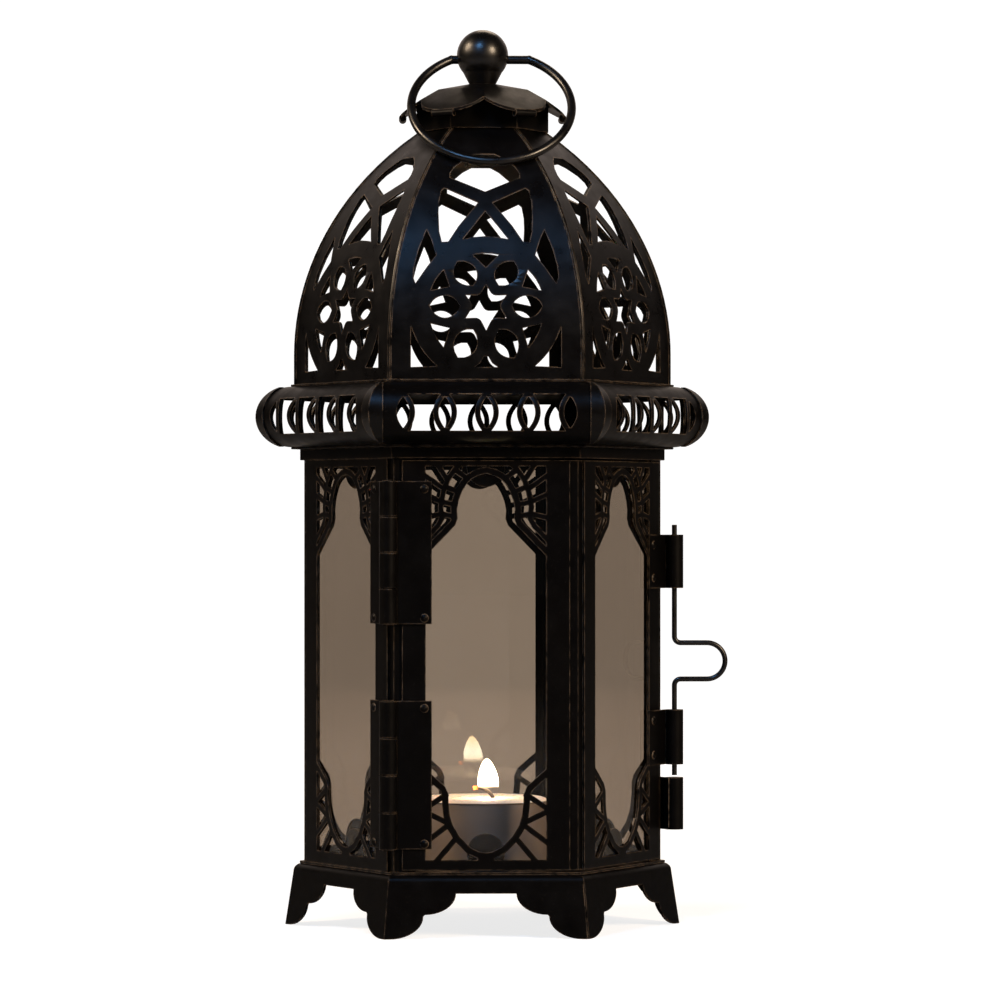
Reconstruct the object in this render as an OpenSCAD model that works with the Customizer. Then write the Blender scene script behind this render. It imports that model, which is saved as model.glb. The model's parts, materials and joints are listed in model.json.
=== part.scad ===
// Six-sided pierced metal lantern with a hinged two-face door, slide latch,
// swinging carry ring and a lift-out tealight.
// Corners of the hexagon lie on +-X, one flat face looks along -Y, feet stand on z = 0.

/* [Body] */
// Corner radius of the wall panels
body_r = 53; // [45:0.5:62]
// Thickness of the pressed sheet
sheet = 0.8; // [0.5:0.1:1.5]
// Height where the wall panels start
wall_z0 = 18.5; // [14:0.5:24]
// Height where the wall panels end
wall_z1 = 135.3; // [110:0.1:160]
// Half width of one wall panel
panel_half = 23.7; // [20:0.1:26]
// Half width of a window
window_half = 17; // [14:0.1:19]
// Bottom of the windows
window_z0 = 22; // [20:0.5:30]
// Top of the windows
window_z1 = 133; // [110:0.5:150]
// Width of the cusped arch band in a window
band_w = 1.9; // [1:0.1:3]
// Width of the short lattice bars
spoke_w = 1.6; // [0.8:0.1:2]
// Glass thickness
glass_t = 2; // [1:0.1:3]

/* [Base] */
// Corner radius at the toes
toe_r = 57.6; // [54:0.2:62]
// Corner radius under the tray edge
tray_r = 55.2; // [53:0.2:60]
// Height of the tray top
tray_z = 17.8; // [14:0.1:22]
// Bend radius along the tray edge
tray_bend = 2.2; // [1:0.1:3]

/* [Belt and dome] */
// Radius of the half-round belt
belt_rad = 8.85; // [7:0.05:10]
// Height of the belt centre
belt_z = 147.95; // [140:0.05:160]
// Distance from axis to the belt's centre line
belt_n = 48.1; // [46:0.1:52]
// Pitch of the belt's rings
belt_pitch = 11.7; // [10:0.1:13]
// Radius of the dome's meridian
dome_arc = 83; // [78:0.5:90]
// Height where the dome starts to curve in
dome_spring = 166; // [160:0.5:172]
// Distance from axis to the dome's flat foot
dome_n = 47.37; // [45:0.05:50]
// Height of the dome's top edge
dome_top = 231; // [225:0.5:236]

/* [Finial and ring] */
// Height of the canopy's sharp apex
canopy_apex = 245.9; // [243:0.1:248]
// Slope of the canopy round its apex
canopy_tilt = 13; // [10:0.5:20]
// Slope of the canopy leaves
leaf_tilt = 32; // [24:0.5:40]
// Radius of the ball
ball_r = 7.5; // [6:0.1:9]
// Height of the ball centre
ball_z = 253.5; // [250:0.1:258]
// Height of the ring's pivot
pivot_z = 252.3; // [250:0.1:256]
// Centre-line radius of the carry ring
ring_r = 23.2; // [18:0.1:28]
// Wire radius of the carry ring
ring_wire = 1.25; // [0.8:0.05:1.5]
// How far the ring hangs to the right of the ball
ring_shift = 2.3; // [0:0.1:4]
// Lean of the resting ring from straight down
ring_lean = 42.5; // [38:0.5:60]

/* [Door hardware] */
// Outer radius of the hinge barrels
hinge_rad = 2.5; // [2:0.1:3]
// Radius of the hinge pins
hinge_pin = 1.6; // [1.2:0.05:2]
// Radius of the rolled latch guides
guide_rad = 2.6; // [2:0.1:3]
// Wire radius of the latch rod
rod_wire = 0.75; // [0.5:0.05:1]
// Lower end of the latch rod
rod_z0 = 43.3; // [43:0.1:46]
// Upper end of the latch rod
rod_z1 = 116.5; // [114:0.5:120]

/* [Tealight] */
// Radius of the tealight cup at its rim
cup_r = 19.6; // [18:0.1:20.5]
// Height of the tealight's rim
cup_z1 = 36.2; // [33:0.1:40]

/* [Hidden] */
$fn = 96;
c30 = cos(30);
t30 = tan(30);
n_out = body_r * c30;          // outer face of the wall panels
n_in = n_out - sheet;          // inner face of the wall panels
n_seat = n_in - 0.005;          // outer face of the posts, just clear of the panels
n_post = n_in - sheet;         // inner face of the posts
n_glass = n_in - glass_t;
floor_z = wall_z0 - 0.7;
door_z0 = wall_z0 + 0.6;
door_z1 = wall_z1 - 0.6;
rim_z = wall_z1 + 3.2;
belt_z0 = belt_z - belt_rad;
belt_z1 = belt_z + belt_rad;
dome_z0 = belt_z1 + 0.6;
dome_c = dome_n - dome_arc;    // centre of the dome's meridian
hinge_n = n_out + 1.99;        // hinge axis: distance from the face plane of either side
hinge_at = [-hinge_n / c30 * cos(60), -hinge_n / c30 * sin(60)];
rod_n = n_out + guide_rad + 0.1;
rod_x = round(rod_n / c30 * 100) / 100;
cup_z0 = wall_z0 + 0.05;
ring_end = ball_r + ring_wire + 0.25;   // where the straight ends of the ring stop on its left
ring_drop = sqrt(pow(ring_r, 2) - pow(ring_end + ring_shift, 2));
canopy_flat = 245;             // seat of the ball
leaf_apex = 251;               // where the slopes of the leaves would meet
black = [0.05, 0.048, 0.046];
alu = [0.6, 0.6, 0.6];

// ---------- helpers ----------

// Turn something drawn on the front face (-Y) onto face k, counted anticlockwise from above.
module face(k) { rotate([0, 0, 60 * k]) children(); }

// Extrude a flat outline drawn in (across, up) between two distances from the axis.
module sheet_out(n0, n1) {
  translate([0, -n0, 0]) rotate([90, 0, 0]) linear_extrude(height = n1 - n0) children();
}

// Extrude a profile drawn in (distance from axis, up) along the face.
module along_face(w) {
  rotate([90, 0, -90]) linear_extrude(height = w, center = true) children();
}

// The 60 degree sector of the front face, less a gap on each mitred side.
module sector(z0, z1, gap = 0, reach = 80) {
  g = gap / sin(30);
  translate([0, 0, z0]) linear_extrude(height = z1 - z0)
    polygon([[0, -g], [-reach * t30 + gap / c30, -reach], [reach * t30 - gap / c30, -reach]]);
}

module hex(n) { circle(r = n / c30, $fn = 6); }

module hex_ring(n0, n1, z0, z1) {
  translate([0, 0, z0]) linear_extrude(height = z1 - z0) difference() { hex(n1); hex(n0); }
}

// Plan position beside the corner on +X: u along the face, n from the axis, s = 1 for the side facing -Y.
function on_corner(u, n, s) = [c30 * n + u / 2, s * (-n / 2 + c30 * u)];

function mirror_path(p) = concat([for (i = [len(p) - 1:-1:1]) [-p[i][0], p[i][1]]], p);
function unit(v) = v / norm(v);
function tangent(p, i) = unit(p[min(i + 1, len(p) - 1)] - p[max(i - 1, 0)]);
function side(p, i, d) = [p[i][0] - d * tangent(p, i)[1], p[i][1] + d * tangent(p, i)[0]];

// A band of even width along a path.
module ribbon(p, w) {
  polygon(concat([for (i = [0:len(p) - 1]) side(p, i, w / 2)],
                 [for (i = [len(p) - 1:-1:0]) side(p, i, -w / 2)]));
}

module bar(a, b, w) { ribbon([a, b], w); }

module both_sides() { children(); mirror([1, 0]) children(); }

// ---------- base ----------

// Bracket foot edge: two quarter-ellipses with a small step, right half.
foot_edge = concat(
  [for (a = [180:9:270]) [17.3 + 8.8 * cos(a), 12.7 + 5.9 * sin(a)]],
  [for (a = [180:9:270]) [27.3 + 9.6 * cos(a), 6.3 + 6.3 * sin(a)]]);

module foot_cutout() {
  polygon(concat(foot_edge, [[27.3, -1], [-27.3, -1]],
    [for (i = [len(foot_edge) - 1:-1:0]) [-foot_edge[i][0], foot_edge[i][1]]]));
}

// Everything inside the tray's skin, drawn as (distance from axis, up) and set in by t;
// the hidden inside of the bend is a plain two-step chamfer.
module tray_inside(t) {
  toe_n = toe_r * c30;
  top_n = tray_r * c30;
  z_bend = tray_z - tray_bend;
  lean = (toe_n - top_n) / z_bend;
  z_low = t > 0 ? -1 : 0;
  b = tray_bend - t;
  if (t > 0) {
    polygon([[-80, z_low], [toe_n - t - lean * z_low, z_low], [top_n - t, z_bend],
             [top_n - t - 0.29 * b, z_bend + 0.71 * b], [top_n - t - b, z_bend + b], [-80, z_bend + b]]);
  } else {
    polygon([[-80, z_low], [toe_n, z_low], [top_n, z_bend], [-80, z_bend]]);
    translate([-80, z_bend]) square([80 + top_n - tray_bend, tray_bend]);
    translate([top_n - tray_bend, z_bend]) intersection() { circle(r = tray_bend); square(tray_bend + 1); }
  }
}

module base_tray() {
  color(black) difference() {
    intersection_for (k = [0:5]) face(k) along_face(200) tray_inside(0);
    intersection_for (k = [0:5]) face(k) along_face(200) tray_inside(sheet);
    for (k = [0:5]) face(k) sheet_out(40, 60) foot_cutout();
    // open fold at the front right corner
    rotate([0, 0, -60]) translate([50, -0.15, -1]) cube([12, 0.3, tray_z - tray_bend + 0.7]);
  }
}

module floor_plate() {
  color(black) translate([0, 0, floor_z]) linear_extrude(height = wall_z0 - floor_z) hex(n_out + 0.3);
}

// Three small tongues that locate the tealight.
module candle_tabs() {
  color(black) for (a = [30, 150, 270]) rotate([0, 0, a])
    translate([cup_r + 0.9, 0, wall_z0]) rotate([90, 0, 90]) linear_extrude(height = 0.7)
      intersection() { circle(r = 4); translate([-4, 0]) square([8, 4]); }
}

// ---------- walls ----------

// Cusped arch at the top of a window and cusped bowl at the bottom.
arch_path = mirror_path([[0, 131.9], [2.5, 131.3], [4.6, 130.2], [6.3, 128.5], [7.6, 126.2], [8.6, 123.6],
  [9.1, 120.9], [8.9, 118.4], [9.4, 116.9], [15.3, 110.8], [18.2, 107.8]]);
bowl_path = mirror_path([[0, 23.1], [2.2, 23.4], [4.9, 24.7], [8.1, 27.9], [10.2, 31.4], [11.1, 34.4],
  [11.5, 38.0], [11.5, 40.4], [12.2, 42.1], [15.2, 44.8], [18.2, 47.4]]);
arch_ring = [[7.0, 134], [9.0, 131.9], [10.8, 129.2], [12.1, 125.6], [12.8, 121.6], [12.5, 118.2], [13.6, 116.2], [17.6, 112.0]];
arch_bars = [[[5.4, 129.6], [8.9, 132.2]], [[7.9, 125.8], [12, 127.4]], [[9.0, 122.2], [12.7, 123.0]],
  [[9.0, 118.8], [12.6, 119.6]], [[10.8, 129.0], [13.8, 133.6]], [[11.9, 126.6], [17.6, 130.6]],
  [[12.6, 123.0], [17.6, 125.2]], [[12.6, 119.6], [17.6, 118.4]]];
bowl_bars = [[[10.8, 40.8], [17.6, 36.2]], [[17.6, 35.8], [10.7, 32.4]], [[10.2, 32.2], [17.6, 26.6]],
  [[8.2, 28.4], [14.2, 21.4]]];

module lattice() {
  ribbon(arch_path, band_w);
  ribbon(bowl_path, band_w);
  translate([-2.4, 21]) square([4.8, 2.6]);
  both_sides() {
    ribbon(arch_ring, spoke_w);
    for (b = arch_bars) bar(b[0], b[1], spoke_w);
    for (b = bowl_bars) bar(b[0], b[1], spoke_w);
  }
}

module wall_panel(z0, z1) {
  color(black) sheet_out(n_in, n_out) difference() {
    translate([-panel_half, z0]) square([2 * panel_half, z1 - z0]);
    difference() {
      translate([-window_half, window_z0]) square([2 * window_half, window_z1 - window_z0]);
      lattice();
    }
  }
}

module pane() {
  color([0.75, 0.72, 0.66, 0.35]) sheet_out(n_glass, n_in)
    translate([-19, 20.3]) square([38, 113.6]);
}

// One tongue that holds a pane: seat outside the pane's edge, half-disc behind it.
module clip(top) {
  z_seat = top ? 133.9 : 19.6;
  sheet_out(n_glass - 0.7, n_in) translate([-4, z_seat]) square([8, 0.7]);
  sheet_out(n_glass - 0.7, n_glass) intersection() {
    union() {
      translate([0, top ? 132.6 : 23.9]) circle(r = 5.4);
      translate([-4, top ? 132.6 : 19.6]) square([8, top ? 2 : 4.3]);
    }
    translate([-6, 19.6]) square([12, 115]);
  }
}

module clips() { color(black) { clip(true); clip(false); } }

// Bent corner strip behind two neighbouring panels, at the corner on +X.
module post(z0, z1) {
  color(black) translate([0, 0, z0]) linear_extrude(height = z1 - z0)
    polygon([on_corner(20, n_seat, 1), [n_seat / c30, 0], on_corner(20, n_seat, -1),
      on_corner(20, n_post, -1), [n_post / c30, 0], on_corner(20, n_post, 1)]);
}

module top_rim() { color(black) hex_ring(n_post, n_out + 0.25, wall_z1, rim_z); }
module deck_ring() { color(black) hex_ring(40, belt_n + 0.3, rim_z, belt_z0); }
module dome_ring() { color(black) hex_ring(40, dome_n + 1.1, belt_z1, dome_z0); }

// ---------- belt ----------

// Waisted opening between two almond rings.
function waist(u, w0, w1, h) = concat(
  [for (t = [-1:0.125:1]) [u + w0 + (w1 - w0) * t * t, belt_z + h * t]],
  [for (t = [1:-0.125:-1]) [u - w0 - (w1 - w0) * t * t, belt_z + h * t]]);
// Almond opening inside a ring.
function almond(u, w, h) = concat(
  [for (t = [-1:0.125:1]) [u + w * (1 - t * t) + 0.1, belt_z + h * t]],
  [for (t = [1:-0.125:-1]) [u - w * (1 - t * t) - 0.1, belt_z + h * t]]);

module belt_section(r0, r1) {
  translate([belt_n, belt_z]) intersection() {
    difference() { circle(r = r1); circle(r = r0); }
    translate([0, -r1 - 1]) square([r1 + 1, 2 * r1 + 2]);
  }
}

module belt_side() {
  color(black) difference() {
    intersection() {
      along_face(90) union() {
        belt_section(belt_rad - sheet, belt_rad);
        translate([45, belt_z0]) square([belt_n - 45, sheet]);
        translate([45, belt_z1 - sheet]) square([belt_n - 45, sheet]);
      }
      sector(belt_z0 - 1, belt_z1 + 1);
    }
    sheet_out(50, 60) {
      for (i = [-1.5:1:1.5]) polygon(waist(i * belt_pitch, 2.5, 4.5, 5.1));
      for (i = [-2:1:2]) polygon(almond(i * belt_pitch, 1.7, 4.3));
    }
  }
}

// Smooth straps over the six belt corners.
module belt_caps() {
  u0 = 29;  // straps reach this far along each face
  color(black) for (k = [0:5]) rotate([0, 0, 60 * k]) for (s = [1, -1]) intersection() {
    rotate([0, 0, s > 0 ? 60 : 120]) along_face(90) intersection() {
      belt_section(belt_rad, belt_rad + 0.45);
      translate([belt_n + 1, belt_z0 + 0.15]) square([12, 2 * belt_rad - 0.3]);
    }
    translate([0, 0, belt_z0 - 1]) linear_extrude(height = 2 * belt_rad + 2)
      polygon([[58.05, s * 0.02], on_corner(u0, 62, s), [76, s * 0.02]]);
  }
}

// ---------- dome ----------

rose_z = 178.2;
function rose(r, a, up = 0.92, low = 1.06) = [r * cos(a), rose_z + r * sin(a) * (sin(a) > 0 ? up : low)];

module rose_openings() {
  // concave six-pointed star
  polygon([for (i = [0:35]) rose([6.6, 5.0, 4.2, 4.0, 4.2, 5.0][i % 6], 30 + 10 * i)]);
  // six lens petals round it
  for (k = [0:5]) polygon(concat(
    [for (t = [-1:0.2:1]) let (p = [11.6 + 4.3 * t, 3.2 * pow(1 - t * t, 0.75)]) rose(norm(p), 60 * k + atan2(p[1], p[0]))],
    [for (t = [0.8:-0.2:-0.8]) let (p = [11.6 + 4.3 * t, -3.2 * pow(1 - t * t, 0.75)]) rose(norm(p), 60 * k + atan2(p[1], p[0]))]));
  // small curved triangles between the petals
  for (k = [0:5]) if (k != 4) polygon(concat([rose(11.9, 30 + 60 * k)],
    [for (a = [-13:6.5:13]) rose(16.3, 30 + 60 * k + a)]));
  polygon([[-3.3, 160.9], [3.3, 160.9], [1.7, 162], [0.6, 163.9], [-0.6, 163.9], [-1.7, 162]]);
}

module gore_openings() {
  rose_openings();
  both_sides() {
    // foot corner, its long edge curved round the rose
    polygon(concat([[21.2, 160.9]], [for (a = [-15:-4.5:-51]) [21.9 * cos(a), rose_z + 21.9 * sin(a)]]));
    // shoulder kite
    polygon([[16.7, 200.1], [15.4, 197.2], [14, 192.7], [16.6, 189.4], [19.9, 184.6], [20.5, 186.4], [20.2, 189.5], [18.9, 194.5]]);
    // big opening beside the crossed bars
    polygon([[2.1, 208], [11.5, 212.3], [12.4, 211.6], [13.1, 208.5], [13.3, 205.2], [13.1, 199.5], [12.4, 196.5],
      [10.6, 196.6], [7.6, 201.2]]);
  }
  // under and over the crossing
  polygon([[0, 205.5], [6.4, 197.3], [3.4, 197.9], [0, 198.2], [-3.4, 197.9], [-6.4, 197.3]]);
  polygon([[0, 211.3], [9.9, 215.5], [9.9, 216.8], [8.6, 218.8], [5.4, 221.3], [2.8, 222.6],
    [-2.8, 222.6], [-5.4, 221.3], [-8.6, 218.8], [-9.9, 216.8], [-9.9, 215.5]]);
}

module gore_section() {
  intersection() {
    union() {
      translate([dome_n - sheet, dome_z0]) square([sheet, dome_spring - dome_z0]);
      translate([dome_c, dome_spring]) intersection() {
        difference() { circle(r = dome_arc, $fn = 360); circle(r = dome_arc - sheet, $fn = 360); }
        square(dome_arc + 1);
      }
    }
    translate([0, dome_z0]) square([60, dome_top - dome_z0]);
  }
}

module gore() {
  color(black) difference() {
    intersection() { along_face(70) gore_section(); sector(dome_z0 - 1, dome_top + 1, 0.4); }
    sheet_out(8, 60) gore_openings();
  }
}

function dome_at(z) = (z <= dome_spring ? dome_n : dome_c + sqrt(pow(dome_arc, 2) - pow(z - dome_spring, 2))) / c30;

// Folded seams standing between the gores.
module dome_seams() {
  zs = concat([dome_z0, dome_spring], [for (i = [1:20]) dome_spring + (dome_top - dome_spring) * i / 20]);
  color(black) for (k = [0:5]) rotate([0, 0, 60 * k]) rotate([90, 0, 0])
    linear_extrude(height = 0.8, center = true) polygon(concat(
      [for (z = zs) [dome_at(z) + 0.35, z]],
      [for (i = [len(zs) - 1:-1:0]) [dome_at(zs[i]) - 1.4, zs[i]]]));
}

// ---------- canopy and finial ----------

// Everything under the six sloping planes of the canopy, lowered by drop.
module pyramid(apex, tilt) {
  intersection_for (k = [0:5]) rotate([0, 0, 60 * k]) translate([0, 0, apex])
    rotate([0, tilt, 0]) translate([-60, -60, -60]) cube([120, 120, 60]);
}

// Everything under the canopy's skin, set in by t.
module under_canopy(t) {
  intersection() {
    pyramid(canopy_apex - t / cos(canopy_tilt), canopy_tilt);
    pyramid(leaf_apex - t / cos(leaf_tilt), leaf_tilt);
  }
}

module dome_neck() {
  color(black) intersection() {
    hex_ring(15.2, 16.7, dome_top, 245);
    under_canopy(sheet);
  }
}

// One leaf of the canopy in plan, from its notch to its tip.
leaf_half = [[17.9, 10.345], [18.9, 10], [20.4, 9.0], [21.9, 7.6], [23.1, 5.5], [23.8, 3], [24, 0]];
leaf_outline = concat([for (p = leaf_half) [p[0], -p[1]]],
  [for (i = [len(leaf_half) - 2:-1:0]) leaf_half[i]]);

module canopy() {
  color(black) difference() {
    union() {
      intersection() {
        difference() {
          under_canopy(0);
          under_canopy(sheet);
        }
        translate([0, 0, 225]) linear_extrude(height = 30) {
          circle(r = 16);
          for (k = [0:5]) rotate(60 * k) polygon(concat([[0, 0]], leaf_outline));
        }
      }
      // rolled lip at each leaf's tip
      for (k = [0:5]) rotate([0, 0, 60 * k]) translate([23.3, 0, leaf_apex - 23.3 * tan(leaf_tilt) - 1.5])
        rotate([90, 0, 0]) cylinder(r = 1.1, h = 7, center = true);
    }
    translate([0, 0, canopy_flat]) cylinder(r = 6, h = 5);
    translate([0, 0, 240]) cylinder(r = 1.55, h = 10);
  }
}

module finial_ball() {
  color(black) difference() {
    union() {
      translate([0, 0, ball_z]) sphere(r = ball_r);
      translate([0, 0, canopy_flat]) cylinder(r1 = 3.8, r2 = 6.4, h = 5);
    }
    translate([0, 0, canopy_flat - 1]) cylinder(r = 1.5, h = 6);
    translate([0, 0, pivot_z]) rotate([0, 90, 0]) cylinder(r = ring_wire + 0.06, h = 20, center = true);
  }
}

module finial_stud() {
  color(alu) {
    translate([0, 0, 239.4]) cylinder(r = 1.5, h = canopy_flat + 5 - 239.4);
    translate([0, 0, 241.8]) cylinder(r = 3.1, h = 2.4, $fn = 6);
  }
}

// Split ring: both ends are bent into the ball's cross hole.
module carry_ring() {
  start = asin(ring_drop / ring_r);
  left = -ring_end;
  right = ring_end + 2 * ring_shift;
  color(black) translate([0, 0, pivot_z]) rotate([-ring_lean, 0, 0]) {
    translate([ring_shift, 0, -ring_drop]) rotate([90, 0, 0]) rotate([0, 0, 180 - start])
      rotate_extrude(angle = 180 + 2 * start, $fn = 180) translate([ring_r, 0]) circle(r = ring_wire, $fn = 32);
    for (x = [left, right]) translate([x, 0, 0]) sphere(r = ring_wire + 0.07, $fn = 32);
    for (x = [[left, -1.2], [1.2, right]])
      translate([x[0], 0, 0]) rotate([0, 90, 0]) cylinder(r = ring_wire, h = x[1] - x[0], $fn = 32);
  }
}

// ---------- hinges ----------

hinge_spans = [[25, 67], [88.4, 128.9]];   // bottom and top of the two hinges

// Barrel lengths of one hinge: even ones turn with the door.
module knuckles(z0, z1, first, rad, bore) {
  step = (z1 - z0) / 4;
  for (i = [first, first + 2]) translate([hinge_at[0], hinge_at[1], z0 + i * step + 0.1])
    difference() {
      cylinder(r = rad, h = step - 0.2);
      translate([0, 0, -1]) cylinder(r = bore, h = step + 2);
    }
}

// Plate of a leaf on the front face, with room cut for the other leaf's barrels.
module leaf(z0, z1, first, bore) {
  step = (z1 - z0) / 4;
  difference() {
    sheet_out(n_out, n_out + 0.7) translate([hinge_at[0] + 0.9, z0 + 0.1]) square([-15.3 - hinge_at[0] - 0.9, z1 - z0 - 0.2]);
    translate([hinge_at[0], hinge_at[1], z0]) cylinder(r = bore, h = z1 - z0);
    for (i = [1 - first, 3 - first]) translate([hinge_at[0], hinge_at[1], z0 + i * step - 0.1])
      cylinder(r = hinge_rad + 0.25, h = step + 0.2);
  }
  knuckles(z0, z1, first, hinge_rad, bore);
}

module door_leaf(i) { color(black) leaf(hinge_spans[i][0], hinge_spans[i][1], 1, hinge_pin + 0.06); }

// The fixed leaf is the same plate mirrored over the corner.
module fixed_leaf(i) {
  color(black) rotate([0, 0, 240]) mirror([0, 1, 0]) rotate([0, 0, -240])
    leaf(hinge_spans[i][0], hinge_spans[i][1], 0, hinge_pin);
}

module hinge_pin_at(i) {
  z0 = hinge_spans[i][0];
  color(black) translate([hinge_at[0], hinge_at[1], z0 - 0.2]) cylinder(r = hinge_pin, h = hinge_spans[i][1] - z0 + 0.4);
}

// ---------- latch ----------

// Strip rolled round the rod and laid on the face to the left of the corner on +X.
module rolled_strip(z0, z1) {
  color(black) difference() {
    union() {
      face(1) sheet_out(n_out, n_out + 0.7) translate([15.6, z0]) square([rod_n * t30 - 14.7, z1 - z0]);
      translate([rod_x, 0, z0]) cylinder(r = guide_rad, h = z1 - z0);
    }
    translate([rod_x, 0, z0 - 1]) cylinder(r = rod_wire + 0.08, h = z1 - z0 + 2);
  }
}

module latch_keeper() { mirror([0, 1, 0]) rolled_strip(27.5, 42.7); }

module latch_bolt() {
  r = 5.3;
  bend = 1.8;
  z_up = 82;
  z_low = z_up - 2 * r;
  x_turn = 71.7 - rod_wire - r;
  color(black) {
    translate([rod_x, 0, z_up + bend]) cylinder(r = rod_wire, h = rod_z1 - z_up - bend, $fn = 32);
    translate([rod_x, 0, rod_z0]) cylinder(r = rod_wire, h = z_low - bend - rod_z0, $fn = 32);
    // bends out of the rod line and back into it
    translate([rod_x + bend, 0, z_up + bend]) rotate([90, 0, 0]) rotate([0, 0, 180])
      rotate_extrude(angle = 90, $fn = 96) translate([bend, 0]) circle(r = rod_wire, $fn = 32);
    translate([rod_x + bend, 0, z_low - bend]) rotate([90, 0, 0]) rotate([0, 0, 90])
      rotate_extrude(angle = 90, $fn = 96) translate([bend, 0]) circle(r = rod_wire, $fn = 32);
    for (z = [z_low, z_up]) translate([rod_x + bend, 0, z]) rotate([0, 90, 0])
      cylinder(r = rod_wire, h = x_turn - rod_x - bend, $fn = 32);
    // finger loop
    translate([x_turn, 0, z_up - r]) rotate([90, 0, 0]) rotate([0, 0, -90])
      rotate_extrude(angle = 180, $fn = 96) translate([r, 0]) circle(r = rod_wire, $fn = 32);
  }
}

// Low domed rivet head on a face, at (across, up) and distance n from the axis.
module rivet(u, z, n) {
  translate([u, -n, z]) rotate([90, 0, 0]) intersection() {
    translate([0, 0, -1]) sphere(r = 1.6, $fn = 32);
    cylinder(r = 3, h = 2);
  }
}

module door_rivets() {
  color(black) {
    for (z = [26.6, 64.8, 90.2, 126.6]) rivet(-17.4, z, n_out + 0.7);
    face(1) for (z = [49.5, 59.5, 101, 110.6]) rivet(18.6, z, n_out + 0.7);
  }
}

module body_rivets() {
  color(black) {
    face(5) for (z = [26.6, 64.8, 90.2, 126.6]) rivet(17.4, z, n_out + 0.7);
    face(2) for (z = [30.6, 39.6]) rivet(-18.6, z, n_out + 0.7);
  }
}

// ---------- tealight ----------

module tealight_cup() {
  color(alu) translate([0, 0, cup_z0]) rotate_extrude() polygon([[0, 0], [cup_r - 0.9, 0], [cup_r - 0.5, 0.5],
    [cup_r - 0.1, cup_z1 - cup_z0 - 0.5], [cup_r + 0.3, cup_z1 - cup_z0], [cup_r - 0.2, cup_z1 - cup_z0],
    [cup_r - 0.5, cup_z1 - cup_z0 - 0.5], [cup_r - 1.0, 0.9], [cup_r - 1.2, 0.5], [0, 0.5]]);
}

// Wax standing a little proud of the cup, with a shallow melt pool.
module tealight_wax() {
  rim = cup_z1 - cup_z0 - 0.5;
  color([0.93, 0.87, 0.74]) translate([0, 0, cup_z0 + 0.5])
    rotate_extrude() polygon([[0, 0], [cup_r - 1.25, 0], [cup_r - 0.6, rim - 1.1], [cup_r - 0.8, rim],
      [cup_r - 1.2, rim + 0.5], [cup_r - 2.2, rim + 0.8], [13, rim + 0.7], [9, rim + 0.5], [0, rim + 0.5]]);
}

// Burnt wick, bent over to the left.
module tealight_wick() {
  z = cup_z1 + 0.5;
  color([0.06, 0.05, 0.05]) intersection() {
    translate([-1.5, 0, z - 2]) rotate([90, 0, 0]) rotate_extrude(angle = 104) translate([5, 0]) circle(r = 0.55, $fn = 24);
    translate([-10, -10, z]) cube([20, 20, 20]);
  }
}

// ---------- nodes ----------

base_tray();
floor_plate();
candle_tabs();
face(2) wall_panel(wall_z0, wall_z1);  // panel_right_back
face(3) wall_panel(wall_z0, wall_z1);  // panel_back
face(4) wall_panel(wall_z0, wall_z1);  // panel_left_back
face(5) wall_panel(wall_z0, wall_z1);  // panel_left_front
face(2) pane();  // glass_right_back
face(3) pane();  // glass_back
face(4) pane();  // glass_left_back
face(5) pane();  // glass_left_front
post(wall_z0, wall_z1);  // post_right
rotate([0, 0, 60]) post(wall_z0, wall_z1);  // post_right_back
rotate([0, 0, 120]) post(wall_z0, wall_z1);  // post_left_back
rotate([0, 0, 180]) post(wall_z0, wall_z1);  // post_left
rotate([0, 0, 240]) post(wall_z0, wall_z1);  // post_left_front
for (k = [2:5]) face(k) clips();  // glass_clips_fixed
top_rim();
deck_ring();
belt_side();  // belt_front
face(1) belt_side();  // belt_right_front
face(2) belt_side();  // belt_right_back
face(3) belt_side();  // belt_back
face(4) belt_side();  // belt_left_back
face(5) belt_side();  // belt_left_front
belt_caps();
dome_ring();
gore();  // gore_front
face(1) gore();  // gore_right_front
face(2) gore();  // gore_right_back
face(3) gore();  // gore_back
face(4) gore();  // gore_left_back
face(5) gore();  // gore_left_front
dome_seams();
dome_neck();
canopy();
finial_ball();
finial_stud();
fixed_leaf(1);  // hinge_leaf_upper
fixed_leaf(0);  // hinge_leaf_lower
hinge_pin_at(1);  // hinge_pin_upper
hinge_pin_at(0);  // hinge_pin_lower
latch_keeper();
body_rivets();
wall_panel(door_z0, door_z1);  // door_panel_front
face(1) wall_panel(door_z0, door_z1);  // door_panel_side
rotate([0, 0, -60]) post(door_z0, door_z1);  // door_stile
pane();  // door_glass_front
face(1) pane();  // door_glass_side
door_leaf(1);  // door_leaf_upper
door_leaf(0);  // door_leaf_lower
rolled_strip(98, 113.6);  // latch_guide_upper
rolled_strip(46.5, 62.5);  // latch_guide_lower
union() { clips(); face(1) clips(); }  // glass_clips_door
door_rivets();
latch_bolt();
carry_ring();
tealight_cup();
tealight_wax();
tealight_wick();
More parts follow.
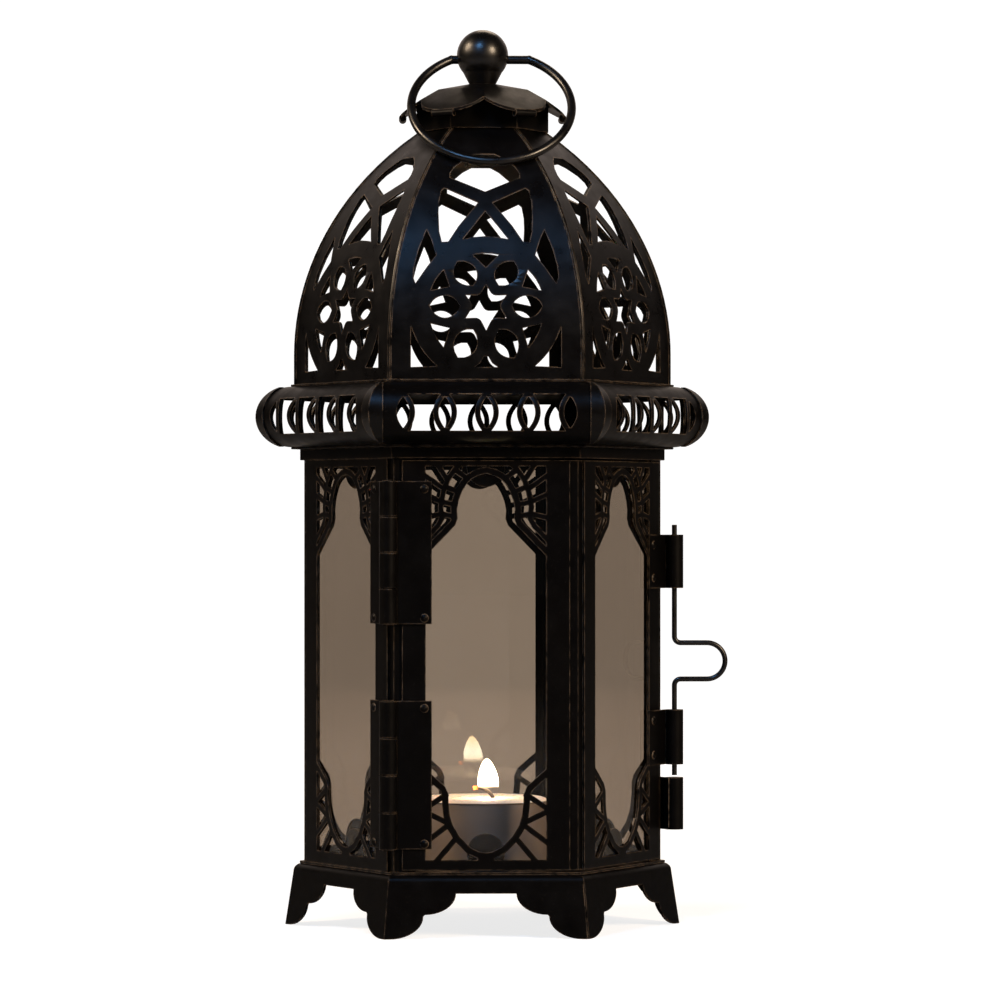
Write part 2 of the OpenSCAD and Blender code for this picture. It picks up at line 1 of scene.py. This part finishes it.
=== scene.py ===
"""Looks of a six-sided pierced metal lantern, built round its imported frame."""
import json
import math
import bpy
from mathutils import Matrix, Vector

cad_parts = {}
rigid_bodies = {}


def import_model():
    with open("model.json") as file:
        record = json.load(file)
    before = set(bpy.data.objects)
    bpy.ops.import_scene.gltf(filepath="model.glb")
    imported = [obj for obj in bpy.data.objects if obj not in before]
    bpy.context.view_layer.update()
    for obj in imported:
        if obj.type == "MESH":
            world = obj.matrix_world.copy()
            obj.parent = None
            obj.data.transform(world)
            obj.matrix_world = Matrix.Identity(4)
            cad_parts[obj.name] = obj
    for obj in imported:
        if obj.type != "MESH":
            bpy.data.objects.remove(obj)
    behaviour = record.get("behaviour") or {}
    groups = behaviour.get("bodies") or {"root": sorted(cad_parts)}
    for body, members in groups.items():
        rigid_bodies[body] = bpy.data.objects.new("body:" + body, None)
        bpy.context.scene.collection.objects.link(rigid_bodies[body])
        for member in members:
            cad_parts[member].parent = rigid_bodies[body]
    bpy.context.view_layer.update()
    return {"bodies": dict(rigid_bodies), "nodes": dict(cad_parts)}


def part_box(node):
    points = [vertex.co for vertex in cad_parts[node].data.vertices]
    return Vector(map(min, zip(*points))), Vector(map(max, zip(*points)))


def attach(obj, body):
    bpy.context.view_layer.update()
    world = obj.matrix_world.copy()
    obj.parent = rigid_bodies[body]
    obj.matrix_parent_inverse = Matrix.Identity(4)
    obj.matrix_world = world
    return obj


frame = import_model()
NODES = frame["nodes"]
MM = 0.001
scene = bpy.context.scene

# colours that several materials share (linear red, green, blue)
WARM_BLACK = (0.0013, 0.0009, 0.0006)
COLD_BLACK = (0.0006, 0.0006, 0.0008)
DUST = (0.03, 0.026, 0.022)
# light brown of worn paint along edges, which also serves as a painted highlight on them
RUBBED_EDGE_AND_HIGHLIGHT = (0.13, 0.095, 0.065)
CLEAR_GLASS = ((0.955, 0.945, 0.93), (0.93, 0.915, 0.895))
# brown of the back panes: painted shade, standing in for a dim brown room seen through the
# lantern, not a colour of the glass
PAINTED_SHADE_BROWN = ((0.505, 0.447, 0.390), (0.485, 0.425, 0.365))
DEEP_PAINTED_SHADE_BROWN = ((0.462, 0.404, 0.350), (0.440, 0.384, 0.330))
GLASS_FILM = (0.50, 0.43, 0.36)
GLASS_IOR = 1.45
EMBER_X = (-1.2 * MM, -2.4 * MM)     # the wick glows from the first to the second
EDGE_WIDTH = 0.5 * MM                # how far along an edge the paint is worn and carries a painted highlight


# ---------- node helpers ----------

class Graph:
    """Small helper that adds and links shader nodes."""

    def __init__(self, name):
        self.mat = bpy.data.materials.new(name)
        self.mat.use_nodes = True
        self.tree = self.mat.node_tree
        self.tree.nodes.clear()
        self.out = self.add("ShaderNodeOutputMaterial")
        self.coord = self.add("ShaderNodeTexCoord").outputs["Object"]

    def add(self, kind, **values):
        n = self.tree.nodes.new(kind)
        for k, v in values.items():
            if k in n.inputs:
                n.inputs[k].default_value = v
            else:
                setattr(n, k, v)
        return n

    def link(self, a, b):
        self.tree.links.new(a, b)

    def noise(self, scale, detail=3.0, rough=0.5, vector=None):
        n = self.add("ShaderNodeTexNoise", Scale=scale, Detail=detail,
                     Roughness=rough)
        self.link(vector or self.coord, n.inputs["Vector"])
        return n.outputs["Fac"]

    def ramp(self, value, lo, hi, out_lo=0.0, out_hi=1.0):
        n = self.add("ShaderNodeMapRange")
        n.clamp = True
        ends = {"From Min": lo, "From Max": hi, "To Min": out_lo, "To Max": out_hi}
        for k, v in ends.items():
            n.inputs[k].default_value = v
        self.link(value, n.inputs["Value"])
        return n.outputs["Result"]

    def mix(self, fac, a, b):
        n = self.add("ShaderNodeMix", data_type="RGBA")
        for key, v in ((6, a), (7, b)):
            if isinstance(v, (tuple, list)):
                n.inputs[key].default_value = (*v, 1)
            else:
                self.link(v, n.inputs[key])
        if isinstance(fac, (int, float)):
            n.inputs[0].default_value = fac
        else:
            self.link(fac, n.inputs[0])
        return n.outputs[2]

    def math(self, op, a, b=0.0):
        n = self.add("ShaderNodeMath", operation=op)
        for i, v in enumerate((a, b)):
            if isinstance(v, (int, float)):
                n.inputs[i].default_value = v
            else:
                self.link(v, n.inputs[i])
        return n.outputs[0]

    def axis(self, name):
        n = self.add("ShaderNodeSeparateXYZ")
        self.link(self.coord, n.inputs[0])
        return n.outputs[name]

    def vector_math(self, op, a, b=None):
        n = self.add("ShaderNodeVectorMath", operation=op)
        for i, v in enumerate((a, b)):
            if isinstance(v, tuple):
                n.inputs[i].default_value = v
            elif v is not None:
                self.link(v, n.inputs[i])
        return n.outputs["Value" if op in ("LENGTH", "DOT_PRODUCT") else "Vector"]

    def bump(self, height, strength, distance, normal=None):
        n = self.add("ShaderNodeBump", Strength=strength, Distance=distance)
        self.link(height, n.inputs["Height"])
        if normal is not None:
            self.link(normal, n.inputs["Normal"])
        return n.outputs["Normal"]

    def surface(self, **values):
        n = self.add("ShaderNodeBsdfPrincipled")
        for k, v in values.items():
            if isinstance(v, (int, float)):
                n.inputs[k].default_value = v
            elif isinstance(v, (tuple, list)):
                is_color = n.inputs[k].type == "RGBA"
                n.inputs[k].default_value = (*v, 1) if is_color else v
            else:
                self.link(v, n.inputs[k])
        self.show(n.outputs[0])

    def show(self, shader):
        self.link(shader, self.out.inputs["Surface"])

    def blend(self, share, first, second):
        """Mixes two shaders; share 0 is all first."""
        n = self.add("ShaderNodeMixShader")
        for i, v in enumerate((share, first, second)):
            self.link(v, n.inputs[i])
        return n.outputs[0]


def black_paint(name, gloss=0.36, edge_wear_and_highlight=0.8, shine=0.07):
    """Thin satin black stove paint: orange peel, faint dust, and edges that turn light
    brown in patches, both worn paint and a painted highlight.
    """
    g = Graph(name)
    peel = g.noise(2600, 2.0)
    dents = g.noise(45, 2.0)
    cloud = g.noise(28, 4.0, 0.6)
    specks = g.ramp(g.noise(1500, 1.0), 0.68, 0.74)
    # edges: the shading normal of a rounded corner departs from the true one; there the
    # colour turns light brown in patches, which is worn paint and also a painted highlight
    rounded = g.add("ShaderNodeBevel", samples=4, Radius=EDGE_WIDTH)
    geo = g.add("ShaderNodeNewGeometry")
    same = g.vector_math("DOT_PRODUCT", rounded.outputs[0], geo.outputs["Normal"])
    patchy = g.math("MULTIPLY", g.ramp(same, 0.99, 0.85),
                    g.ramp(g.noise(420, 3.0), 0.36, 0.58))
    rubbed_and_highlit = g.math("MULTIPLY", patchy, edge_wear_and_highlight)
    base = g.mix(cloud, WARM_BLACK, COLD_BLACK)
    dusty = g.mix(g.math("MULTIPLY", specks, 0.12), base, DUST)
    normal = g.bump(peel, 0.10, 0.06 * MM)
    normal = g.bump(dents, 0.25, 0.6 * MM, normal)
    rough = g.ramp(g.noise(160, 4.0, 0.6), 0.3, 0.7, gloss - 0.06, gloss + 0.1)
    # light brown edges: worn paint, and a painted highlight as well
    g.surface(**{"Base Color": g.mix(rubbed_and_highlit, dusty, RUBBED_EDGE_AND_HIGHLIGHT),
                 "Roughness": rough, "Normal": normal, "Specular IOR Level": shine})
    return g.mat


def window_pane(name, pane_colours, dirt, tilt=(0, 0, 0)):
    """Window pane, see-through without bending light.

    tilt leans its reflections as a loose pane does.
    """
    g = Graph(name)
    # the pane's colour is a real tint on the clear panes; on the back panes it is painted
    # shade of a dim room seen through the lantern
    pane_colour, dirty_pane_colour = pane_colours
    film = g.noise(40, 3.0, 0.55)
    grain = g.noise(1800, 2.0)
    cloudy = g.mix(film, pane_colour, dirty_pane_colour)
    clear = g.add("ShaderNodeBsdfTransparent")
    g.link(g.mix(g.ramp(grain, 0.35, 0.65, 0.0, 0.15), cloudy, dirty_pane_colour),
           clear.inputs["Color"])
    gloss = g.add("ShaderNodeBsdfGlossy", Roughness=0.015, Color=(1, 1, 1, 1))
    geo = g.add("ShaderNodeNewGeometry")
    if any(tilt):
        lean = g.vector_math("ADD", geo.outputs["Normal"], tilt)
        g.link(g.vector_math("NORMALIZE", lean), gloss.inputs["Normal"])
    # only the side turned to the ray mirrors: from within, the Fresnel node
    # would give total reflection
    fresnel = g.add("ShaderNodeFresnel", IOR=GLASS_IOR)
    front = g.math("SUBTRACT", 1.0, geo.outputs["Backfacing"])
    mirror = g.math("MULTIPLY", fresnel.outputs[0], front)
    haze = g.add("ShaderNodeBsdfDiffuse", Color=(*GLASS_FILM, 1))
    body = g.blend(g.ramp(film, 0.3, 0.8, 0.4 * dirt, dirt),
                   clear.outputs[0], haze.outputs[0])
    g.show(g.blend(mirror, body, gloss.outputs[0]))
    return g.mat


def aluminium_foil(name):
    """Drawn aluminium of the candle's cup, with faint upright draw lines."""
    g = Graph(name)
    drawn = g.add("ShaderNodeMapping", Scale=(1, 1, 0.06))
    g.link(g.coord, drawn.inputs["Vector"])
    lines = g.noise(900, 3.0, 0.5, drawn.outputs[0])
    cloud = g.noise(120, 3.0)
    g.surface(**{"Base Color": g.mix(cloud, (0.34, 0.27, 0.225), (0.42, 0.345, 0.29)),
                 "Metallic": 0.75, "Roughness": g.ramp(cloud, 0.3, 0.7, 0.34, 0.48),
                 "Normal": g.bump(lines, 0.12, 0.1 * MM)})
    return g.mat


def zinc_steel(name):
    """Plated steel of the stud and its nut."""
    g = Graph(name)
    cloud = g.noise(300, 4.0)
    g.surface(**{"Base Color": g.mix(cloud, (0.42, 0.42, 0.43), (0.55, 0.54, 0.52)),
                 "Metallic": 1.0, "Roughness": g.ramp(cloud, 0.3, 0.7, 0.28, 0.46),
                 "Normal": g.bump(cloud, 0.1, 0.1 * MM)})
    return g.mat


def candle_wax_painted_glow(name):
    """Cream wax with a painted glow that grows towards the flame in its middle, standing
    in for the flame's light in the wax.
    """
    g = Graph(name)
    cloud = g.noise(140, 4.0)
    fine = g.noise(700, 3.0)
    away = g.vector_math("LENGTH", g.vector_math("MULTIPLY", g.coord, (1, 1, 0)))
    g.surface(**{"Base Color": g.mix(cloud, (0.56, 0.47, 0.39), (0.64, 0.55, 0.47)),
                 "Roughness": g.ramp(fine, 0.3, 0.7, 0.22, 0.4),
                 "Subsurface Weight": 0.6, "Subsurface Scale": 4 * MM,
                 "Subsurface Radius": (1.0, 0.6, 0.35),
                 # painted light: this emission stands in for the flame's light in the wax,
                 # stronger near the middle
                 "Emission Color": (1.0, 0.81, 0.63),
                 "Emission Strength": g.ramp(away, 21 * MM, 3 * MM, 0.30, 0.56),
                 "Normal": g.bump(fine, 0.12, 0.2 * MM)})
    return g.mat


def burnt_wick(name):
    """Charred woven wick with a glowing tip."""
    g = Graph(name)
    weave = g.noise(2500, 2.0)
    ember = g.ramp(g.axis("X"), *EMBER_X)
    g.surface(**{"Base Color": g.mix(weave, (0.012, 0.01, 0.009), (0.05, 0.035, 0.025)),
                 "Roughness": 0.9, "Emission Color": (1.0, 0.22, 0.03),
                 "Emission Strength": g.math("MULTIPLY", ember, 9.0),
                 "Normal": g.bump(weave, 0.6, 0.3 * MM)})
    return g.mat


def flame_light(name, base_z, top_z):
    """Candle flame: white-hot body, warm tip, faint blue and nearly clear at the root."""
    g = Graph(name)
    wisps = g.noise(180, 2.0)
    wavy = g.math("MULTIPLY", g.math("SUBTRACT", wisps, 0.5), 0.06)
    height = g.math("ADD", g.ramp(g.axis("Z"), base_z, top_z), wavy)
    heat = g.add("ShaderNodeValToRGB")
    g.link(height, heat.inputs[0])
    stops = heat.color_ramp.elements
    stops[0].position, stops[0].color = 0.0, (0.16, 0.20, 0.95, 1)
    stops[1].position, stops[1].color = 1.0, (1.0, 0.66, 0.30, 1)
    for place, color in ((0.16, (0.55, 0.50, 0.90, 1)), (0.28, (1.0, 0.74, 0.46, 1)),
                         (0.60, (1.0, 0.88, 0.66, 1))):
        stops.new(place).color = color
    emit = g.add("ShaderNodeEmission")
    g.link(heat.outputs["Color"], emit.inputs["Color"])
    g.link(g.ramp(height, 0.26, 0.44, 0.35, 32.0), emit.inputs["Strength"])
    clear = g.add("ShaderNodeBsdfTransparent")
    facing = g.add("ShaderNodeLayerWeight", Blend=0.35).outputs["Facing"]
    rim = g.ramp(facing, 0.6, 1.0)
    root = g.ramp(height, 0.26, 0.42, 0.94, 0.0)
    g.show(g.blend(g.math("MAXIMUM", rim, root), emit.outputs[0], clear.outputs[0]))
    return g.mat


# ---------- materials on the CAD nodes ----------

paint = black_paint("stove_black")
paint_shiny = black_paint("stove_black_gloss", gloss=0.30, edge_wear_and_highlight=0.25, shine=0.36)
paint_wire = black_paint("wire_black", gloss=0.30, edge_wear_and_highlight=0.7, shine=0.36)
paint_dusty = black_paint("stove_black_dusty", gloss=0.31, edge_wear_and_highlight=0.9, shine=0.17)
glass_clear = window_pane("glass_clear", CLEAR_GLASS, dirt=0.0015)
# the three back panes carry painted shade: their brown stands in for a dim room seen
# through the lantern
glass_painted_shade = window_pane("glass_painted_shade", DEEP_PAINTED_SHADE_BROWN, dirt=0.004)
glass_loose_painted_shade = window_pane("glass_painted_shade_loose", PAINTED_SHADE_BROWN, dirt=0.004,
                          tilt=(0.031, 0.0, -0.030))

# the first entry whose names a node's name starts with gives its material
WORN_BY = (
    (("glass_back",), glass_loose_painted_shade),
    (("glass_right_back", "glass_left_back"), glass_painted_shade),
    (("glass_left_front", "door_glass_"), glass_clear),
    (("finial_stud",), zinc_steel("zinc_steel")),
    (("tealight_cup",), aluminium_foil("cup_foil")),
    (("tealight_wax",), candle_wax_painted_glow("candle_wax_painted_glow")),
    (("tealight_wick",), burnt_wick("burnt_wick")),
    (("finial_ball",), paint_shiny),
    (("carry_ring", "latch_bolt"), paint_wire),
    (("belt_caps", "dome_seams", "gore_"), paint_dusty),
    (("",), paint),
)
# pressed sheet, whose cut edges are rounded a little
SHEET = ("gore_", "belt_", "panel_", "door_panel", "base_tray", "top_rim",
         "deck_ring", "dome_ring", "canopy", "hinge_leaf", "door_leaf",
         "latch_guide", "latch_keeper", "door_stile", "post_", "dome_seams",
         "dome_neck")
EDGE_ROUND = 0.12 * MM
SHARP = math.radians(32)


def soften(obj):
    """Rounds the cut edges of a pressed sheet, without touching its mesh."""
    weld = obj.modifiers.new("weld", "WELD")
    weld.merge_threshold = 0.001 * MM
    edge = obj.modifiers.new("round", "BEVEL")
    edge.width, edge.segments = EDGE_ROUND, 2
    edge.limit_method, edge.angle_limit = "ANGLE", SHARP
    edge.harden_normals = False
    shading = obj.modifiers.new("normals", "WEIGHTED_NORMAL")
    shading.keep_sharp = False


for name, obj in NODES.items():
    obj.data.materials.clear()
    obj.data.materials.append(
        next(mat for starts, mat in WORN_BY if name.startswith(starts)))
    if name.startswith(SHEET):
        soften(obj)


# ---------- flame ----------

FLAME_HEIGHT = 11.6 * MM
FLAME_X = 1.5 * MM                   # it burns a little beside the bent wick's foot
FLAME_SWAY = 0.2 * MM
SWAY_RATE = 400                      # radians per metre of height
# share of the height, radius in millimetres
FLAME_SHAPE = ((0, 0), (0.01, 1.5), (0.04, 2.3), (0.10, 2.7), (0.20, 2.95),
               (0.30, 3.05), (0.40, 3.05), (0.50, 2.95), (0.60, 2.72), (0.70, 2.38),
               (0.78, 2.02), (0.86, 1.56), (0.92, 1.16), (0.97, 0.68), (1, 0))
FLAME_STEPS = 40


def lathe(profile, steps, centre_x):
    """Closed surface of revolution from (radius, height) points.

    The first and last points lie on the axis, which stands at centre_x(height).
    """
    verts, faces, rings = [], [], []
    for r, z in profile:
        count = steps if r > 0 else 1
        rings.append(range(len(verts), len(verts) + count))
        for k in range(count):
            turn = 2 * math.pi * k / steps
            verts.append((centre_x(z) + r * math.cos(turn), r * math.sin(turn), z))
    for low, high in zip(rings, rings[1:]):
        for k in range(steps):
            after = (k + 1) % steps
            if len(low) == 1:
                faces.append((low[0], high[after], high[k]))
            elif len(high) == 1:
                faces.append((low[k], low[after], high[0]))
            else:
                faces.append((low[k], low[after], high[after], high[k]))
    return verts, faces


def new_object(name, verts, faces, mat):
    mesh = bpy.data.meshes.new(name)
    mesh.from_pydata(verts, [], faces)
    mesh.update()
    for p in mesh.polygons:
        p.use_smooth = True
    obj = bpy.data.objects.new(name, mesh)
    scene.collection.objects.link(obj)
    mesh.materials.append(mat)
    return obj


# a blunt drop standing round the bent wick
flame_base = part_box("tealight_wick")[0].z - 0.1 * MM
flame_top = flame_base + FLAME_HEIGHT
outline = [(r * MM, flame_base + FLAME_HEIGHT * share) for share, r in FLAME_SHAPE]
verts, faces = lathe(outline, FLAME_STEPS, lambda z: FLAME_X
                     + FLAME_SWAY * math.sin((z - flame_base) * SWAY_RATE))
flame = new_object("flame", verts, faces,
                   flame_light("flame_light", flame_base, flame_top))
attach(flame, "tealight")
smooth = flame.modifiers.new("smooth", "SUBSURF")
smooth.levels = smooth.render_levels = 1


# ---------- stage ----------

FLOOR_HALF_WIDTH = 6.0
FLOOR_BACK = 3.0                     # where the floor has swept up into a wall
SWEEP_RADIUS = 1.0
SWEEP_STEPS = 16
WALL_TOP = 5.0


def pale_floor(name):
    """Dim to the lantern, so that black metal stays black, but white to the camera."""
    g = Graph(name)
    cloud = g.noise(3, 3.0)
    seen = g.add("ShaderNodeLightPath").outputs["Is Camera Ray"]
    level = g.ramp(g.vector_math("LENGTH", g.coord), 0.15, 0.9, 0.80, 1.0)
    g.surface(**{"Base Color": g.mix(cloud, (0.26, 0.26, 0.26), (0.29, 0.29, 0.29)),
                 "Roughness": 0.8, "Specular IOR Level": 0.1,
                 "Emission Color": (1.0, 1.0, 1.0),
                 "Emission Strength": g.math("MULTIPLY", seen, level)})
    return g.mat


def swept_floor():
    """Flat in front, swept up behind; its outline as (y, z) points."""
    bend_start = FLOOR_BACK - SWEEP_RADIUS
    outline = [(-FLOOR_HALF_WIDTH, 0.0), (bend_start, 0.0)]
    for i in range(1, SWEEP_STEPS + 1):
        turn = math.pi / 2 * i / SWEEP_STEPS
        outline.append((bend_start + SWEEP_RADIUS * math.sin(turn),
                        SWEEP_RADIUS * (1 - math.cos(turn))))
    outline.append((FLOOR_BACK, WALL_TOP))
    verts = [(x, y, z) for y, z in outline for x in (-FLOOR_HALF_WIDTH, FLOOR_HALF_WIDTH)]
    faces = [(2 * i, 2 * i + 1, 2 * i + 3, 2 * i + 2) for i in range(len(outline) - 1)]
    return verts, faces


new_object("floor", *swept_floor(), pale_floor("pale_floor"))


# ---------- lights ----------

AMBIENT = 0.035                      # the surroundings as the lantern sees them
AIM = (0, 0, 0.2)                    # every lamp points at the top of the windows

world = bpy.data.worlds.new("studio")
scene.world = world
world.use_nodes = True
sky = world.node_tree.nodes["Background"]
seen = world.node_tree.nodes.new("ShaderNodeLightPath")
level = world.node_tree.nodes.new("ShaderNodeMapRange")
level.inputs["To Min"].default_value = AMBIENT
level.inputs["To Max"].default_value = 1.0
world.node_tree.links.new(seen.outputs["Is Camera Ray"], level.inputs["Value"])
world.node_tree.links.new(level.outputs["Result"], sky.inputs["Strength"])
sky.inputs["Color"].default_value = (1.0, 1.0, 1.0, 1)


def area(name, at, size, power, color):
    """Rectangular lamp at a place in metres, with its size in metres and watts."""
    lamp = bpy.data.lights.new(name, "AREA")
    lamp.shape = "RECTANGLE"
    lamp.size, lamp.size_y = size
    lamp.energy, lamp.color = power, color
    obj = bpy.data.objects.new(name, lamp)
    scene.collection.objects.link(obj)
    obj.location = at
    obj.rotation_euler = (Vector(AIM) - Vector(at)).to_track_quat("-Z", "Y").to_euler()
    return obj


area("cool_front", (-0.30, -0.87, 1.04), (0.22, 0.26), 9, (0.20, 0.50, 1.0))
area("warm_left", (-1.07, -0.22, 0.91), (0.30, 0.42), 22, (1.0, 0.76, 0.52))
area("warm_right", (0.86, -0.86, 0.69), (0.28, 0.40), 24, (1.0, 0.76, 0.52))
area("warm_back", (0.15, 1.10, 1.20), (0.60, 0.50), 3, (1.0, 0.80, 0.60))
# the pale wall behind, which the walls of the pierced holes mirror at a slant
backdrop = area("backdrop", (0, 1.60, 0.75), (3.0, 1.4), 9, (1.0, 0.82, 0.72))
backdrop.visible_camera = False

# light that the flame throws on the wax and the inside of the case
glow = bpy.data.lights.new("candle", "POINT")
glow.energy, glow.color = 0.05, (1.0, 0.62, 0.30)
glow.shadow_soft_size = 3 * MM
candle = bpy.data.objects.new("candle", glow)
scene.collection.objects.link(candle)
candle.location = (0.5 * MM, 0, flame_base + 7 * MM)
candle.parent = frame["bodies"]["tealight"]
candle.visible_glossy = False


# ---------- camera ----------

DISTANCE = 1.30
EYE_HEIGHT = 0.117
AZIMUTH = math.radians(-1.25)        # from the front, towards the lantern's left
LENS = 161.81818                     # millimetres on a 36 mm wide sensor
SHIFT = (0.0126263, 0.0282828)       # share of the picture's width

camera = bpy.data.objects.new("camera", bpy.data.cameras.new("camera"))
scene.collection.objects.link(camera)
camera.location = (DISTANCE * math.sin(AZIMUTH), -DISTANCE * math.cos(AZIMUTH), EYE_HEIGHT)
camera.rotation_euler = (math.pi / 2, 0, AZIMUTH)
camera.data.sensor_width = 36
camera.data.lens = LENS
camera.data.shift_x, camera.data.shift_y = SHIFT
scene.camera = camera
scene.view_settings.view_transform = "Standard"
